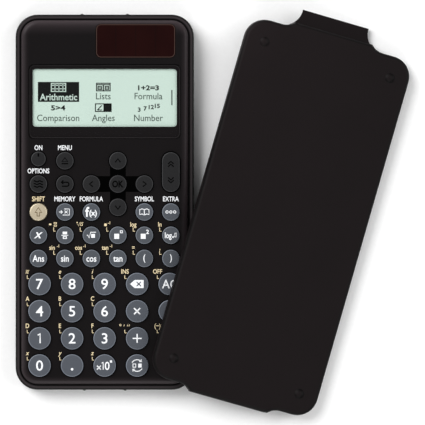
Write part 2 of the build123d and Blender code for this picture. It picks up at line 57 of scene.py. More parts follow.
# ---- Camera, floor and light ----------------------------------------------------------------------
# The camera's sensor is in mm as cameras are sold; the other lengths here are metres.
SENSOR = 36.0
CAMERA_HEIGHT = 3.0
CAMERA_REACH = 100
FRAME_MARGIN = 1.05
FLOOR_SIZE = 12.0
FLOOR_DROP = 0.0001
WORLD_GREY = 0.22
# Each light's direction, strength, and softness in degrees.
SUNS = {
    "window_light": ((-1.0, 0.9, 1.0), 3.3, 46),
    "right_light": ((1.0, 0.1, 0.6), 1.65, 46),
    "front_light": ((-0.1, -1.0, 0.6), 1.5, 46),
}


def aim_camera():
    """Look straight down on the middle of the object, with +Y up the frame."""
    low, high = (Vector(corner) for corner in cad_box)
    size = high - low
    camera_data = bpy.data.cameras.new("camera")
    camera_data.sensor_width = SENSOR
    camera_data.lens = SENSOR * CAMERA_HEIGHT / (FRAME_MARGIN * max(size.x, size.y))
    camera_data.clip_end = CAMERA_REACH
    camera = bpy.data.objects.new("camera", camera_data)
    bpy.context.scene.collection.objects.link(camera)
    camera.location = ((low.x + high.x) / 2, (low.y + high.y) / 2, CAMERA_HEIGHT)
    bpy.context.scene.camera = camera


def light_scene():
    """Soft lights low on three sides, and a dim even light from all round."""
    for name, (direction, strength, softness) in SUNS.items():
        sun = bpy.data.lights.new(name, "SUN")
        sun.energy = strength
        sun.angle = radians(softness)
        lamp = bpy.data.objects.new(name, sun)
        lamp.rotation_euler = Vector(direction).to_track_quat("Z", "Y").to_euler()
        bpy.context.scene.collection.objects.link(lamp)
    world = bpy.data.worlds.new("studio")
    world.use_nodes = True
    world.node_tree.nodes["Background"].inputs["Color"].default_value = (WORLD_GREY,) * 3 + (1,)
    bpy.context.scene.world = world
    bpy.context.scene.view_settings.view_transform = "Standard"


aim_camera()
light_scene()


# ---- Finishes -------------------------------------------------------------------------------------
def linear(red, green, blue):
    """Colour of a paint chip, given in 0 to 255, as the shader wants it."""
    parts = [value / 255 for value in (red, green, blue)]
    return [part / 12.92 if part <= 0.04045 else ((part + 0.055) / 1.055) ** 2.4 for part in parts] + [1.0]


class Reading:
    """A value inside a finish that can stand in a Python sum."""

    def __init__(self, finish, socket):
        self.finish = finish
        self.socket = socket

    def combine(self, operation, first, second):
        return self.finish.node("ShaderNodeMath", {"operation": operation}, {0: first, 1: second})

    def __add__(self, other):
        return self.combine("ADD", self, other)

    def __radd__(self, other):
        return self.combine("ADD", other, self)

    def __sub__(self, other):
        return self.combine("SUBTRACT", self, other)

    def __rsub__(self, other):
        return self.combine("SUBTRACT", other, self)

    def __mul__(self, other):
        return self.combine("MULTIPLY", self, other)

    def __rmul__(self, other):
        return self.combine("MULTIPLY", other, self)

    def __truediv__(self, other):
        return self.combine("DIVIDE", self, other)

    def __gt__(self, other):
        return self.combine("GREATER_THAN", self, other)

    def __lt__(self, other):
        return self.combine("LESS_THAN", self, other)

    def __pow__(self, other):
        return self.combine("POWER", self, other)

    def __abs__(self):
        return self.combine("ABSOLUTE", self, 0.0)

    def at_least(self, other):
        return self.combine("MAXIMUM", self, other)

    def at_most(self, other):
        return self.combine("MINIMUM", self, other)

    def fade(self, start, end):
        """1 up to start, and smoothly down to 0 at end."""
        reach = {"From Min": start, "From Max": end, "To Min": 1.0, "To Max": 0.0}
        settings = {"interpolation_type": "SMOOTHSTEP"}
        return self.finish.node("ShaderNodeMapRange", settings, {"Value": self, **reach})

    def wrapped(self, step):
        """Where it stands between one multiple of step and the next, from 0 to 1."""
        return self.combine("FRACT", self / step, 0.0)


# How far upwards a surface faces, from 0 on a wall to 1 on a top, where its rolled edge comes and goes.
EDGE_FOOT = (0.05, 0.55)
EDGE_TOP = (0.8, 0.998)
# The mix node keeps its colour sockets at these places.
MIX_FIRST_COLOUR = 6
MIX_SECOND_COLOUR = 7
MIX_RESULT_COLOUR = 2


class Finish:
    """One surface finish, built from shader nodes on the Object coordinates of its piece."""

    def __init__(self, name):
        self.material = bpy.data.materials.new(name)
        self.material.use_nodes = True
        self.tree = self.material.node_tree
        self.tree.nodes.clear()
        self.output = self.tree.nodes.new("ShaderNodeOutputMaterial")
        self.place = self.node("ShaderNodeTexCoord", out="Object")

    def node(self, kind, settings=None, sockets=None, out=0):
        """Any node: its settings first, then a value or a link for each socket."""
        made = self.tree.nodes.new(kind)
        for name, value in (settings or {}).items():
            setattr(made, name, value)
        for name, value in (sockets or {}).items():
            if isinstance(value, Reading):
                self.tree.links.new(value.socket, made.inputs[name])
            else:
                made.inputs[name].default_value = value
        return Reading(self, made.outputs[out])

    def noise(self, grain, detail=2.0, roughness=0.5):
        """Soft random pattern from 0 to 1, with features about grain mm across."""
        grains = {"Vector": self.place, "Scale": 1 / (grain * MM)}
        sockets = {**grains, "Detail": detail, "Roughness": roughness}
        return self.node("ShaderNodeTexNoise", None, sockets, "Fac")

    def cells(self, grain):
        """Pebbled pattern: distance to the nearest of many points about grain mm apart."""
        sockets = {"Vector": self.place, "Scale": 1 / (grain * MM)}
        return self.node("ShaderNodeTexVoronoi", None, sockets, "Distance")

    def along(self, axis):
        """Coordinate along X, Y or Z, in mm."""
        return self.node("ShaderNodeSeparateXYZ", None, {0: self.place}, axis) * (1 / MM)

    def blend(self, share, first, second, mode="MIX"):
        """Mix of two colours."""
        settings = {"data_type": "RGBA", "blend_type": mode}
        sockets = {"Factor": share, MIX_FIRST_COLOUR: first, MIX_SECOND_COLOUR: second}
        return self.node("ShaderNodeMix", settings, sockets, MIX_RESULT_COLOUR)

    def tint(self, colour, tone):
        """A paint chip's colour, lighter or darker by tone."""
        return self.blend(1.0, linear(*colour), tone, "MULTIPLY")

    def rolled_edge(self):
        """1 where the surface rolls over between its top and its sides, fading to 0 on both."""
        normal = self.node("ShaderNodeTexCoord", out="Normal")
        upward = self.node("ShaderNodeSeparateXYZ", None, {0: normal}, "Z")
        return (1 - upward.fade(*EDGE_FOOT)) * upward.fade(*EDGE_TOP)

    def depth_inside(self, width, length, corner):
        """How far inside the outline of a rounded rectangle, in mm."""
        across = abs(self.along("X")) - (width / 2 - corner)
        along = abs(self.along("Y")) - (length / 2 - corner)
        beyond = (across.at_least(0.0) ** 2 + along.at_least(0.0) ** 2) ** 0.5
        return corner - beyond - across.at_least(along).at_most(0.0)

    def bump(self, height, depth, strength=1.0):
        """Normal from a height pattern that is depth mm deep."""
        sockets = {"Strength": strength, "Distance": depth * MM, "Height": height}
        return self.node("ShaderNodeBump", None, sockets)

    def shade(self, **sockets):
        """Finish with one principled shader."""
        named = {name.replace("_", " "): value for name, value in sockets.items()}
        shader = self.node("ShaderNodeBsdfPrincipled", None, named, "BSDF")
        self.tree.links.new(shader.socket, self.output.inputs["Surface"])
        return self.material


CLOUD_SIZE = 26.0


def moulded_plastic(name, colour, grain, depth, roughness, gloss, cloud=0.12, edge=0.0, painted_light=None):
    """Moulded plastic: fine spark grain, slow drift of tone, and roughness that follows the grain.

    Rolled edges get painted highlight by edge, painted shade if edge is negative; the light function adds
    both.
    """
    finish = Finish(name)
    pebbles = finish.cells(grain)
    fine = finish.noise(grain / 2, 3.0)
    drift = finish.noise(CLOUD_SIZE, 2.0)
    tone = 1 - cloud / 2 + drift * cloud + (fine - 0.5) * cloud / 2
    # Painted highlight on rolled edges, or painted shade where edge is below zero.
    if edge:
        tone = tone + finish.rolled_edge() * edge
    # Painted highlights and painted shade from the given light function.
    if painted_light:
        tone = tone + painted_light(finish)
    return finish.shade(
        Base_Color=finish.tint(colour, tone),
        Roughness=roughness + (fine - 0.5) * 0.12,
        Specular_IOR_Level=gloss,
        Normal=finish.bump(pebbles * 0.6 + fine * 0.4, depth),
    )


# Bands of painted highlight and painted shade on the case, in mm inside the outline of the face or of the
# rim.
FACE_CORNER = 7.2
PARTING_INSET = 2.4
FACE_HIGHLIGHT_BAND = (0.6, 3.6)
FACE_ROUND = 0.75
FACE_ROUND_HALF = (0.1, 0.7)
HOLE_SHADE_FROM = (2.2, 3.0)
TOP_HIGHLIGHT_BAND = (1.5, 7.0)
RIM_HIGHLIGHT_LINE = 1.15
RIM_HIGHLIGHT_HALF = (0.1, 0.6)
RIM_OUTER_SHADE = (0.45, 0.85)
RIM_SHOULDER = (2.5, 5.5)
# Corner of the cover with a painted pool of light, as a share of the cover's box, and how far its two tones
# reach.
COVER_LIGHT_CORNER = (0.37, 0.96)
COVER_NEAR = 22
COVER_FAR = 90


def face_size():
    """Width and length of the face, in mm."""
    low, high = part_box("front_case")
    return (high.x - low.x) / MM, (high.y - low.y) / MM


def face_painted_light(finish):
    """Painted highlights on the face's sloping edge and along its top, and painted shade round its holes."""
    inside = finish.depth_inside(*face_size(), FACE_CORNER)
    from_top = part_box("front_case")[1].y / MM - finish.along("Y")
    # Painted highlights: a band along the face's edge, a line on its round, and a band along its top.
    band = inside.fade(*FACE_HIGHLIGHT_BAND) * 3.4
    round_highlight = abs(inside - FACE_ROUND).fade(*FACE_ROUND_HALF) * 2.0
    # Painted shade on the rolled edges of the key holes and other cut-outs.
    hole_shade = finish.rolled_edge() * (1 - inside.fade(*HOLE_SHADE_FROM)) * 0.9
    return band + round_highlight + from_top.fade(*TOP_HIGHLIGHT_BAND) * 3.0 - hole_shade


def cover_painted_light(finish):
    """Painted pool of light: the cover is a little paler round its upper left corner."""
    low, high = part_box("cover")
    size = (high - low) / MM
    across = finish.along("X") - (low.x / MM + size.x * COVER_LIGHT_CORNER[0])
    along = finish.along("Y") - (low.y / MM + size.y * COVER_LIGHT_CORNER[1])
    reach = (across**2 + along**2) ** 0.5
    return reach.fade(0, COVER_NEAR) * 0.3 + reach.fade(0, COVER_FAR) * 0.25


def rim_painted_light(finish):
    """Painted highlight along the middle of the rim, and painted shade on its outer edge."""
    width, length = (size + 2 * PARTING_INSET for size in face_size())
    inside = finish.depth_inside(width, length, FACE_CORNER + PARTING_INSET)
    ridge_highlight = abs(inside - RIM_HIGHLIGHT_LINE).fade(*RIM_HIGHLIGHT_HALF) * 3.4
    outer_edge_shade = inside.fade(*RIM_OUTER_SHADE) * 0.95
    upper = 1 - finish.along("Z").fade(*RIM_SHOULDER)
    return (ridge_highlight - outer_edge_shade) * upper


def key_plastic(name, colour, roughness=0.42, gloss=0.25, edge=0.75):
    """Satin key plastic with fine specks, and a painted highlight, by edge, on its rolled rim."""
    finish = Finish(name)
    fine = finish.noise(0.22, 3.0)
    speck = finish.noise(0.9, 2.0)
    # The rolled rim of each key gets a painted highlight, by edge.
    tone = 0.97 + (speck - 0.5) * 0.10 + (fine - 0.5) * 0.12 + finish.rolled_edge() * edge
    return finish.shade(
        Base_Color=finish.tint(colour, tone),
        Roughness=roughness + (fine - 0.5) * 0.1,
        Specular_IOR_Level=gloss,
        Normal=finish.bump(fine, 0.006),
    )


def gold_plastic(name):
    """Key plastic with a pale gold metallic flake."""
    finish = Finish(name)
    flake = finish.cells(0.12)
    fine = finish.noise(0.3, 2.0)
    colour = finish.blend(flake, linear(182, 168, 142), linear(220, 208, 182))
    return finish.shade(
        Base_Color=colour,
        Metallic=0.45 + fine * 0.2,
        Roughness=0.36 + fine * 0.08,
        Coat_Weight=0.3,
        Coat_Roughness=0.2,
        Normal=finish.bump(flake, 0.004),
    )


def printing_ink(name, colour, roughness=0.5, wear=0.08, gloss=0.2):
    """Pad-printed ink with thin spots."""
    finish = Finish(name)
    thin = finish.noise(0.25, 3.0)
    tone = 1 - wear / 2 + (thin - 0.5) * wear
    return finish.shade(
        Base_Color=finish.tint(colour, tone),
        Roughness=roughness + (thin - 0.5) * 0.2,
        Specular_IOR_Level=gloss,
        Normal=finish.bump(thin, 0.003),
    )


LCD_GREEN = (194, 212, 202)
LCD_DOT = 0.32
DOT_SHARE = 0.86


def lcd_finish(name):
    """Reflective liquid crystal panel: pale green, with the faint grid of its dots."""
    finish = Finish(name)
    column = finish.along("X").wrapped(LCD_DOT) > DOT_SHARE
    row = finish.along("Y").wrapped(LCD_DOT) > DOT_SHARE
    grid = (column + row) * 0.018
    drift = finish.noise(14.0, 1.0)
    fleck = finish.noise(0.4, 2.0)
    tone = 0.985 - grid + (drift - 0.5) * 0.04 + (fleck - 0.5) * 0.03
    return finish.shade(
        Base_Color=finish.tint(LCD_GREEN, tone),
        Roughness=0.55 + (fleck - 0.5) * 0.1,
        Specular_IOR_Level=0.2,
        Normal=finish.bump(fleck, 0.002),
    )


SOLAR_STRIPS = 4
SOLAR_GAP = 0.018


def solar_finish(name):
    """Amorphous solar cell under glass: dark maroon strips with hairline gaps."""
    finish = Finish(name)
    low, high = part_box("solar_cell")
    strip = (high.x - low.x) / MM / SOLAR_STRIPS
    across = (finish.along("X") - low.x / MM).wrapped(strip)
    gap = (across < SOLAR_GAP) + (across > 1 - SOLAR_GAP)
    drift = finish.noise(9.0, 2.0)
    fine = finish.noise(0.15, 2.0)
    silicon = finish.blend(drift, linear(22, 5, 5), linear(30, 8, 7))
    return finish.shade(
        Base_Color=finish.blend(gap * 0.7, silicon, linear(14, 6, 6)),
        Roughness=0.3 + fine * 0.08,
        Specular_IOR_Level=0.05,
        Coat_Weight=0.08 + (drift - 0.5) * 0.04,
        Coat_Roughness=0.06,
        Normal=finish.bump(gap, 0.02, 0.4),
    )


DUST_LEVEL = 0.72


def clear_finish(name):
    """Clear acrylic window: see-through, with its gloss by angle and a trace of dust."""
    finish = Finish(name)
    dust = finish.noise(2.5, 4.0, 0.7)
    polish = {"Base Color": linear(12, 12, 12), "Roughness": 0.05 + dust * 0.05, "Specular IOR Level": 0.5}
    gloss = finish.node("ShaderNodeBsdfPrincipled", None, polish, "BSDF")
    clear = finish.node("ShaderNodeBsdfTransparent", None, {"Color": (0.995, 1.0, 0.998, 1)}, "BSDF")
    turned = finish.node("ShaderNodeLayerWeight", None, {"Blend": 0.5}, "Facing")
    share = 0.02 + turned**5 * 0.7 + (dust > DUST_LEVEL) * 0.006
    mixed = finish.node("ShaderNodeMixShader", None, {0: share, 1: clear, 2: gloss}, "Shader")
    finish.tree.links.new(mixed.socket, finish.output.inputs["Surface"])
    return finish.material


TRACK_PITCH = 1.6
TRACK_SHARE = 0.35


def board_finish(name):
    """Green solder mask over fine copper tracks."""
    finish = Finish(name)
    lane = (finish.along("Y") + finish.noise(8.0, 1.0) * 3).wrapped(TRACK_PITCH) < TRACK_SHARE
    weave = finish.noise(0.5, 2.0)
    mask = finish.blend(weave, linear(24, 74, 42), linear(32, 90, 52))
    return finish.shade(
        Base_Color=finish.blend(lane * 0.5, mask, linear(70, 120, 60)),
        Roughness=0.35 + weave * 0.1,
        Coat_Weight=0.4 + weave * 0.1,
        Normal=finish.bump(lane, 0.03),
    )


def rubber_finish(name):
    """Moulded silicone sheet."""
    finish = Finish(name)
    fine = finish.noise(0.3, 3.0)
    return finish.shade(
        Base_Color=finish.blend(fine, linear(120, 122, 124), linear(150, 152, 154)),
        Roughness=0.7 + (fine - 0.5) * 0.15,
        Specular_IOR_Level=0.3,
        Normal=finish.bump(fine, 0.01),
    )


DRAWN_LENGTH = 12.0
DRAWN_GRAIN = 1.2


def metal_finish(name, colour, roughness, brushed=0.2):
    """Metal with fine drawn lines and small stains."""
    finish = Finish(name)
    drawn = {"Vector": finish.place, "Scale": (1.0, DRAWN_LENGTH, 1.0)}
    stretched = finish.node("ShaderNodeMapping", {"vector_type": "POINT"}, drawn)
    grains = {"Vector": stretched, "Scale": 1 / (DRAWN_GRAIN * MM), "Detail": 3.0}
    lines = finish.node("ShaderNodeTexNoise", None, grains, "Fac")
    stain = finish.noise(1.6, 3.0)
    tone = 0.9 + (lines - 0.5) * brushed + (stain - 0.5) * 0.1
    return finish.shade(
        Base_Color=finish.tint(colour, tone),
        Metallic=1.0,
        Roughness=roughness + (lines - 0.5) * 0.15 + (stain - 0.5) * 0.1,
        Normal=finish.bump(lines, 0.004),
    )


def floor_finish(name):
    """Matte white paper floor."""
    finish = Finish(name)
    fibre = finish.noise(1.5, 3.0)
    return finish.shade(
        Base_Color=finish.blend(fibre, linear(240, 240, 240), linear(246, 246, 246)),
        Roughness=0.9,
        Specular_IOR_Level=0.1,
        Normal=finish.bump(fibre, 0.01),
    )


# The face and the case take painted highlights and painted shade from their light functions.
face_black = moulded_plastic(
    "face_black_plastic", (13, 10, 11), grain=0.16, depth=0.010, roughness=0.42, gloss=0.13, painted_light=face_painted_light
)
case_black = moulded_plastic(
    "case_black_plastic", (19, 16, 17), grain=0.3, depth=0.012, roughness=0.42, gloss=0.25, painted_light=rim_painted_light
)
cover_black = moulded_plastic(
    "cover_black_plastic",
    (18, 13, 14),
    grain=0.42,
    depth=0.03,
    roughness=0.6,
    gloss=0.1,
    cloud=0.3,
    # Painted shade on the cover's rolled edges and on the flanks of its domes.
    edge=-0.75,
    painted_light=cover_painted_light,
)
gloss_black = moulded_plastic(
    "gloss_black_print", (1, 1, 1), grain=0.5, depth=0.002, roughness=0.12, gloss=0.05
)
mask_black = moulded_plastic(
    "window_mask_print", (19, 16, 17), grain=0.5, depth=0.002, roughness=0.4, gloss=0.1
)
# The edge values set the painted highlight on each key's rolled rim.
black_key = key_plastic("black_key_plastic", (31, 31, 32), roughness=0.45, gloss=0.14, edge=2.4)
small_grey_key = key_plastic("small_key_plastic", (72, 76, 82), edge=1.8)
large_grey_key = key_plastic("large_key_plastic", (75, 79, 86), edge=1.8)
gold_key = gold_plastic("gold_key_plastic")
white_ink = printing_ink("white_ink", (236, 238, 240))
gold_ink = printing_ink("gold_ink", (226, 208, 168))
dark_gold_ink = printing_ink("dark_gold_ink", (92, 74, 46))
black_ink = printing_ink("black_ink", (2, 2, 2), roughness=0.7, gloss=0.02)
line_ink = printing_ink("grey_line_ink", (54, 50, 51))
solar_line_ink = printing_ink("solar_border_ink", (66, 48, 42))
lcd_dark = printing_ink("lcd_dark_dots", (5, 8, 7), wear=0.2)
lcd_grey = printing_ink("lcd_grey_dots", (74, 86, 80), wear=0.2)
lcd_pale = printing_ink("lcd_pale_dots", (190, 208, 198), wear=0.1)
lcd_green = lcd_finish("lcd_pale_green")
steel = metal_finish("battery_steel", (196, 196, 192), roughness=0.3)
brass = metal_finish("contact_brass", (200, 170, 104), roughness=0.32)
black_steel = metal_finish("blackened_screw_steel", (58, 57, 58), roughness=0.38, brushed=0.3)
window_clear = clear_finish("clear_window")
solar_maroon = solar_finish("solar_maroon")
board_green = board_finish("board_green")
rubber_grey = rubber_finish("rubber_grey")

# ---- Finishes of the construction's own pieces ----------------------------------------------------
BLACK_KEYS = ("on", "home", "up", "down", "settings", "back", "left", "ok", "right")
SMALL_KEYS = (
    "variable function catalogue tools x fraction root power square log "
    "answer sine cosine tangent open_bracket close_bracket"
).split()
LARGE_KEYS = (
    "7 8 9 delete all_clear 4 5 6 multiply divide 1 2 3 add subtract 0 point exponent format execute"
).split()
finishes = {
    "front_case": face_black,
    "rear_case": case_black,
    "battery_door": case_black,
    "cover": cover_black,
    "display_window": window_clear,
    "lcd_panel": lcd_green,
    "solar_cell": solar_maroon,
    "circuit_board": board_green,
    "keypad_membrane": rubber_grey,
    "battery": steel,
    "battery_contacts": brass,
    "case_screws": black_steel,
    "battery_door_screw": black_steel,
    "page_rocker": black_key,
    "key_shift": gold_key,
}
for group, finish in ((BLACK_KEYS, black_key), (SMALL_KEYS, small_grey_key), (LARGE_KEYS, large_grey_key)):
    for key in group:
        finishes["key_" + key] = finish
for name, finish in finishes.items():
    nodes[name].data.materials.clear()
    nodes[name].data.materials.append(finish)

# ---- Drawing with ink -----------------------------------------------------------------------------
# Ink stands this far above a surface, and its underside is sunk this far into it.
INK = 0.03
INK_ROOT = 0.02
# Height of a capital in lettering of size 1.
CAP_HEIGHT = 0.682
# Corners of a shape nearer than this become one.
WELD = 0.0004
# Corners no further than this under a stroke's middle belong to its top.
FLAT = 0.01
# Pieces of ink on a curved crown are cut to this size.
CUT = 1.1
RING_SIDES = 20
DISC_SIDES = 24
CORNER_STEPS = 6
LETTER_STEPS = 3
# A key's hidden flange, the round of its edge, and the rise of its crown.
KEY_FLANGE = 0.6
KEY_EDGE = 0.45
KEY_CROWN = 0.12


class Drawing:
    """Flat shapes, in mm about the middle of what they are printed on, and one unit thick until printed."""

    def __init__(self):
        self.shapes = bmesh.new()

    def take(self, mesh, move):
        """Add a mesh after a move."""
        mesh.transform(move)
        self.shapes.from_mesh(mesh)
        bpy.data.meshes.remove(mesh)
        return self

    def take_curve(self, curve, moves):
        """Turn a curve or text into a mesh and add it; moves is a function of its box."""
        holder = bpy.data.objects.new("holder", curve)
        bpy.context.scene.collection.objects.link(holder)
        bpy.context.view_layer.update()
        mesh = bpy.data.meshes.new_from_object(holder)
        bpy.data.objects.remove(holder)
        low_x = min(vertex.co.x for vertex in mesh.vertices)
        high_x = max(vertex.co.x for vertex in mesh.vertices)
        low_y = min(vertex.co.y for vertex in mesh.vertices)
        high_y = max(vertex.co.y for vertex in mesh.vertices)
        return self.take(mesh, moves(low_x, high_x, low_y, high_y))

    def words(self, text, height, at=(0, 0), bold=0.02, width=1.0, slant=0.0, centred=False):
        """Letters with a capital's height, centred across, and up by the capital's or by their own box."""
        curve = bpy.data.curves.new("words", "FONT")
        curve.body = text
        curve.extrude = 0.5
        curve.offset = bold
        curve.shear = slant
        curve.resolution_u = LETTER_STEPS
        scale = height / CAP_HEIGHT

        def moves(low_x, high_x, low_y, high_y):
            middle_y = (low_y + high_y) / 2 if centred else CAP_HEIGHT / 2
            return (
                Matrix.Translation((*at, 0))
                @ Matrix.Diagonal((scale * width, scale, 1, 1))
                @ Matrix.Translation((-(low_x + high_x) / 2, -middle_y, 0))
            )

        return self.take_curve(curve, moves)

    def line(self, points, width, closed=False):
        """Stroke of one width through points."""
        curve = bpy.data.curves.new("line", "CURVE")
        curve.dimensions = "3D"
        curve.bevel_depth = 0.5
        curve.bevel_resolution = 1
        curve.use_fill_caps = True
        spline = curve.splines.new("POLY")
        spline.points.add(len(points) - 1)
        spline.use_cyclic_u = closed
        for end, (x, y) in zip(spline.points, points):
            end.co = (x / width, y / width, 0, 1)
        return self.take_curve(curve, lambda *box: Matrix.Diagonal((width, width, 1, 1)))

    def take_shape(self, shape, at):
        """Give a flat bmesh its thickness and add it."""
        made = bmesh.ops.extrude_face_region(shape, geom=shape.faces[:])
        tops = [item for item in made["geom"] if isinstance(item, bmesh.types.BMVert)]
        bmesh.ops.translate(shape, vec=(0, 0, 1), verts=tops)
        mesh = bpy.data.meshes.new("shape")
        shape.to_mesh(mesh)
        shape.free()
        return self.take(mesh, Matrix.Translation((*at, -0.5)))

    def plate(self, width, height, at=(0, 0), corner=0.0):
        """Filled rectangle, rounded at its corners."""
        return self.take_shape(rounded_face(width, height, corner), at)

    def border(self, width, height, line, at=(0, 0), corner=0.0):
        """Rectangle drawn as a line along the inside of its edge."""
        shape = rounded_face(width, height, corner)
        shape.faces.ensure_lookup_table()
        inside = shape.faces[0]
        bmesh.ops.inset_region(shape, faces=[inside], thickness=line, use_boundary=True, use_even_offset=True)
        bmesh.ops.delete(shape, geom=[inside], context="FACES")
        return self.take_shape(shape, at)

    def disc(self, radius, at=(0, 0)):
        """Filled circle."""
        shape = bmesh.new()
        bmesh.ops.create_circle(shape, cap_ends=True, segments=DISC_SIDES, radius=radius)
        return self.take_shape(shape, at)

    def ring(self, radius, width, at=(0, 0)):
        """Circle drawn as a line."""
        sides = RING_SIDES - 1
        return self.line(arc(radius, 0, 360 * sides / RING_SIDES, at, sides), width, closed=True)

    def cut_finely(self):
        """Cut the shapes into small squares, so that they can follow a curved surface."""
        for axis in (Vector((1, 0, 0)), Vector((0, 1, 0))):
            reach = [vertex.co.dot(axis) for vertex in self.shapes.verts]
            place = min(reach) + CUT
            while place < max(reach):
                whole = self.shapes.verts[:] + self.shapes.edges[:] + self.shapes.faces[:]
                bmesh.ops.bisect_plane(self.shapes, geom=whole, plane_co=axis * place, plane_no=axis)
                place += CUT

    def print_on(self, name, body, finish, middle, height_at, curved=False):
        """Lay the shapes on a surface around middle as one piece that rides on a body."""
        bmesh.ops.remove_doubles(self.shapes, verts=self.shapes.verts, dist=WELD)
        if curved:
            self.cut_finely()
        for vertex in self.shapes.verts:
            x, y, z = vertex.co
            level = height_at(x, y) + (INK if z > -FLAT else -INK_ROOT)
            vertex.co = ((middle[0] + x) * MM, (middle[1] + y) * MM, level * MM)
        bmesh.ops.recalc_face_normals(self.shapes, faces=self.shapes.faces)
        mesh = bpy.data.meshes.new(name)
        self.shapes.to_mesh(mesh)
        self.shapes.free()
        mesh.materials.append(finish)
        piece = bpy.data.objects.new(name, mesh)
        bpy.context.scene.collection.objects.link(piece)
        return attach(piece, body)


def rounded_face(width, height, corner):
    """One flat face about the origin, with rounded corners."""
    shape = bmesh.new()
    scale = Matrix.Diagonal((width, height, 1, 1))
    bmesh.ops.create_grid(shape, x_segments=1, y_segments=1, size=0.5, matrix=scale)
    if corner:
        bmesh.ops.bevel(
            shape,
            geom=shape.verts[:],
            offset=corner,
            affect="VERTICES",
            segments=CORNER_STEPS,
            profile=0.5,
            material=-1,
        )
    return shape


def arc(radius, start, end, at=(0, 0), steps=10):
    """Points on a circle from one angle to another, in degrees."""
    angles = [radians(start + (end - start) * step / steps) for step in range(steps + 1)]
    return [(at[0] + radius * cos(angle), at[1] + radius * sin(angle)) for angle in angles]


def middle_of(node):
    """Middle of a node in plan, in mm."""
    low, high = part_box(node)
    return (low.x + high.x) / 2 / MM, (low.y + high.y) / 2 / MM


def top_of(node):
    """Height of a node's top, in mm."""
    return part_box(node)[1].z / MM


def level(height):
    """A flat surface at one height."""
    return lambda x, y: height


def key_surface(node):
    """Height of a key's crown at a place measured from its middle."""
    low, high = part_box(node)
    flat_radius = (high.x - low.x) / 2 / MM - KEY_FLANGE - KEY_EDGE
    ball = (flat_radius**2 + KEY_CROWN**2) / (2 * KEY_CROWN)
    top = high.z / MM
    return lambda x, y: top - ball + sqrt(ball**2 - x * x - y * y)


# ---- Key legends ----------------------------------------------------------------------------------
DIGIT = dict(height=4.3, bold=0.008, width=1.05)
WORD = dict(height=2.7, bold=0.016, width=0.82)
FINE_STROKE = 0.36
STROKE = 0.42
BOLD_STROKE = 0.5
DARK_STROKE = 0.52
SQUARE = 1.75


def sized_words(text, style, at=(0, 0), **changes):
    """A legend of one word."""
    return Drawing().words(text, at=at, **{**style, **changes})


def square_legend(draw, at, size=SQUARE):
    """Filled square that stands for a number."""
    return draw.plate(size, size * 1.05, at)


def fraction_legend():
    """Filled square over a bar, and an open one under it."""
    draw = Drawing().line([(-1.5, 0), (1.5, 0)], FINE_STROKE)
    draw.plate(1.9, 1.1, (0, 1.0))
    return draw.border(1.7, 1.15, 0.34, (0, -1.0))


def root_legend():
    """Root sign over a filled square."""
    draw = Drawing().line([(-1.95, -0.1), (-1.5, 0.1), (-0.95, -1.25), (-0.25, 1.3), (2.0, 1.3)], 0.4)
    return square_legend(draw, (0.75, -0.25), 1.6)


def power_legend():
    """Filled square with an open one as its exponent."""
    draw = square_legend(Drawing(), (-0.5, -0.45), 2.1)
    return draw.border(1.2, 1.2, 0.3, (1.5, 1.5))


def square_number_legend():
    """Filled square with a small 2."""
    draw = square_legend(Drawing(), (-0.5, -0.45), 2.1)
    return draw.words("2", 1.7, (1.35, 1.5), 0.03)


def log_legend():
    """Logarithm to any base: a small square for the base, and an open box."""
    draw = Drawing().words("log", 2.35, (-1.1, 0), 0.025, 0.74)
    draw.plate(0.75, 0.75, (0.95, -0.75))
    return draw.border(0.85, 1.9, 0.26, (2.0, 0.1))


def store_legend():
    """Arrow into an open box that holds a cross."""
    draw = Drawing().line([(-0.9, -1.3), (1.95, -1.3), (1.95, 1.3), (-0.3, 1.3)], FINE_STROKE)
    draw.line([(-2.5, 0), (-1.1, 0)], FINE_STROKE)
    draw.line([(-1.7, 0.65), (-1.0, 0), (-1.7, -0.65)], FINE_STROKE)
    for slope in (-1, 1):
        draw.line([(-0.1, -0.6 * slope), (1.2, 0.6 * slope)], 0.32)
    return draw


def function_legend():
    """Letter f with x in brackets."""
    draw = Drawing().words("f", 3.9, (-1.75, 0.05), 0.03, 0.85)
    return draw.words("(x)", 2.3, (0.75, -0.35), 0.03, 0.9)


def book_legend():
    """Open book."""
    draw = Drawing()
    for side in (-1, 1):
        page = [(0, 1.0), (side * 1.0, 1.35), (side * 2.0, 1.0), (side * 2.0, -1.1)]
        draw.line(page + [(side * 1.0, -0.85), (0, -1.3)], 0.38)
    return draw.line([(0, 1.0), (0, -1.3)], 0.38)


def rings_legend():
    """Three small rings in a row."""
    draw = Drawing()
    for place in (-1.65, 0, 1.65):
        draw.ring(0.52, 0.34, (place, 0))
    return draw


def shift_legend():
    """Open arrow that points up."""
    left_half = [(-0.55, -1.75), (-0.55, -0.2), (-1.5, -0.2)]
    right_half = [(-x, y) for x, y in reversed(left_half)]
    outline = left_half + [(0, 1.9)] + right_half
    return Drawing().line(outline, 0.38, closed=True)


def tick_legend():
    """Short mark at the top of the key."""
    return Drawing().line([(0, 2.4), (0, 1.0)], 0.7)


def house_legend():
    """Small roof over a line."""
    draw = Drawing().line([(-1.25, -0.3), (0, 1.3), (1.25, -0.3)], DARK_STROKE, closed=True)
    return draw.line([(-1.4, -1.25), (1.4, -1.25)], DARK_STROKE)


def waves_legend():
    """Three wavy lines."""
    draw = Drawing()
    for height in (-1.15, 0, 1.15):
        wave = [(step / 4, height + 0.22 * sin(step * pi / 4.5)) for step in range(-8, 9)]
        draw.line(wave, DARK_STROKE)
    return draw


